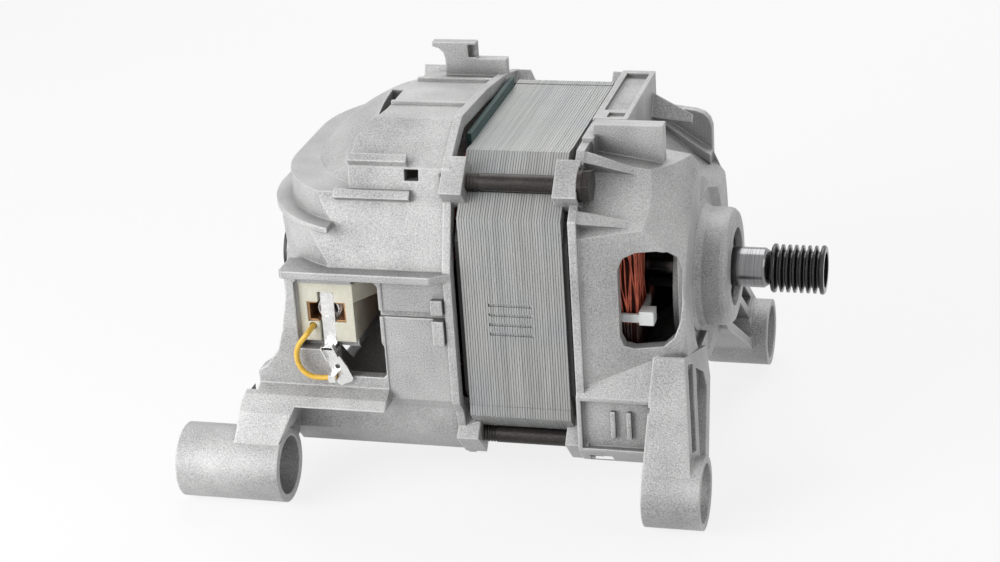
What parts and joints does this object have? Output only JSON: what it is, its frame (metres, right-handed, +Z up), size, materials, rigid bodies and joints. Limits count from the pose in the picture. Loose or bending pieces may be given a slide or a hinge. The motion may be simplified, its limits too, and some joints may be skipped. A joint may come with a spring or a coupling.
{
  "type": "washing machine motor",
  "caption": "Brushed washing machine drive motor: square lamination stack between two die-cast end shields with tube lugs, brush windows and a ribbed belt pulley.",
  "frame": {"origin": "on the shaft axis, in the middle of the ribbed belt face of the pulley", "axes": "+X along the shaft from the motor out through the pulley, +Z up away from the four lug tubes, -Y towards the brush window seen in the picture"},
  "size_m": [0.2199, 0.1576, 0.1399],
  "materials": {
    "cast_aluminium": "die-cast, lightly blasted",
    "laminations": "stacked sheet edges",
    "copper_wire": "enamelled copper, glossy",
    "commutator_copper": "turned copper",
    "black_frame": "matt",
    "green_frame": "matt",
    "white_nylon": "satin",
    "bolt_steel": "dark chromated",
    "shaft_steel": "ground",
    "commutator_resin": "moulded",
    "pulley_black": "gloss black",
    "bearing_steel": "ground",
    "ball_steel": "polished",
    "cage_brass": "pressed",
    "seal_rubber": "matt",
    "spring_steel": "bright",
    "magnet_ferrite": "matt",
    "cap_plastic": "satin",
    "holder_plastic": "moulded",
    "guide_brass": "sheet",
    "brush_carbon": "graphite",
    "tinned_terminal": "tinned",
    "lead_insulation": "smooth",
    "block_plastic": "moulded",
    "pin_metal": "tinned"
  },
  "bodies": {
    "housing": {"front_end_shield": "cast_aluminium", "rear_end_shield": "cast_aluminium", "stator_core": "laminations", "field_coil_near": "copper_wire", "field_coil_far": "copper_wire", "outer_turns_near": "copper_wire", "outer_turns_far": "copper_wire", "tacho_coil": "copper_wire", "coil_frame_front": "black_frame", "coil_frame_rear": "green_frame", "winding_tie": "white_nylon", "through_bolts": "bolt_steel", "front_bearing_outer_ring": "bearing_steel", "rear_bearing_outer_ring": "bearing_steel", "front_bearing_seals": "seal_rubber", "rear_bearing_seals": "seal_rubber", "bearing_spring_washer": "spring_steel", "brush_spring_near": "spring_steel", "brush_spring_far": "spring_steel", "tacho_cap": "cap_plastic", "brush_holder_near": "holder_plastic", "brush_holder_far": "holder_plastic", "brush_guide_near": "guide_brass", "brush_guide_far": "guide_brass", "brush_terminal_near": "tinned_terminal", "brush_terminal_far": "tinned_terminal", "brush_lead_near": "lead_insulation", "brush_lead_far": "lead_insulation", "terminal_block": "block_plastic", "terminal_pins": "pin_metal"},
    "rotor": {"armature_shaft": "shaft_steel", "armature_core": "laminations", "armature_winding": "copper_wire", "commutator_bars": "commutator_copper", "commutator_sleeve": "commutator_resin", "drive_pulley": "pulley_black", "front_bearing_inner_ring": "bearing_steel", "rear_bearing_inner_ring": "bearing_steel", "tacho_magnet": "magnet_ferrite"},
    "front_ball_train": {"front_bearing_balls": "ball_steel", "front_bearing_cage": "cage_brass"},
    "rear_ball_train": {"rear_bearing_balls": "ball_steel", "rear_bearing_cage": "cage_brass"},
    "near_brush": {"carbon_brush_near": "brush_carbon"},
    "far_brush": {"carbon_brush_far": "brush_carbon"}
  },
  "joints": [
    {"name": "rotor_spin", "type": "hinge", "parent": "housing", "child": "rotor", "pos_m": [0, 0, 0], "axis": [1, 0, 0], "continuous": true},
    {"name": "front_balls_orbit", "type": "hinge", "parent": "housing", "child": "front_ball_train", "pos_m": [0, 0, 0], "axis": [1, 0, 0], "continuous": true},
    {"name": "rear_balls_orbit", "type": "hinge", "parent": "housing", "child": "rear_ball_train", "pos_m": [0, 0, 0], "axis": [1, 0, 0], "continuous": true},
    {"name": "near_brush_slide", "type": "slide", "parent": "housing", "child": "near_brush", "axis": [0, -1, 0], "range_m": [0, 0.004], "stiffness_N_per_m": 300, "springref_m": -0.01, "deforming": ["brush_spring_near"]},
    {"name": "far_brush_slide", "type": "slide", "parent": "housing", "child": "far_brush", "axis": [0, 1, 0], "range_m": [0, 0.004], "stiffness_N_per_m": 300, "springref_m": -0.01, "deforming": ["brush_spring_far"]}
  ],
  "couplings": [
    {"joint": "front_balls_orbit", "follows": "rotor_spin", "ratio": 0.3816},
    {"joint": "rear_balls_orbit", "follows": "rotor_spin", "ratio": 0.36545}
  ]
}
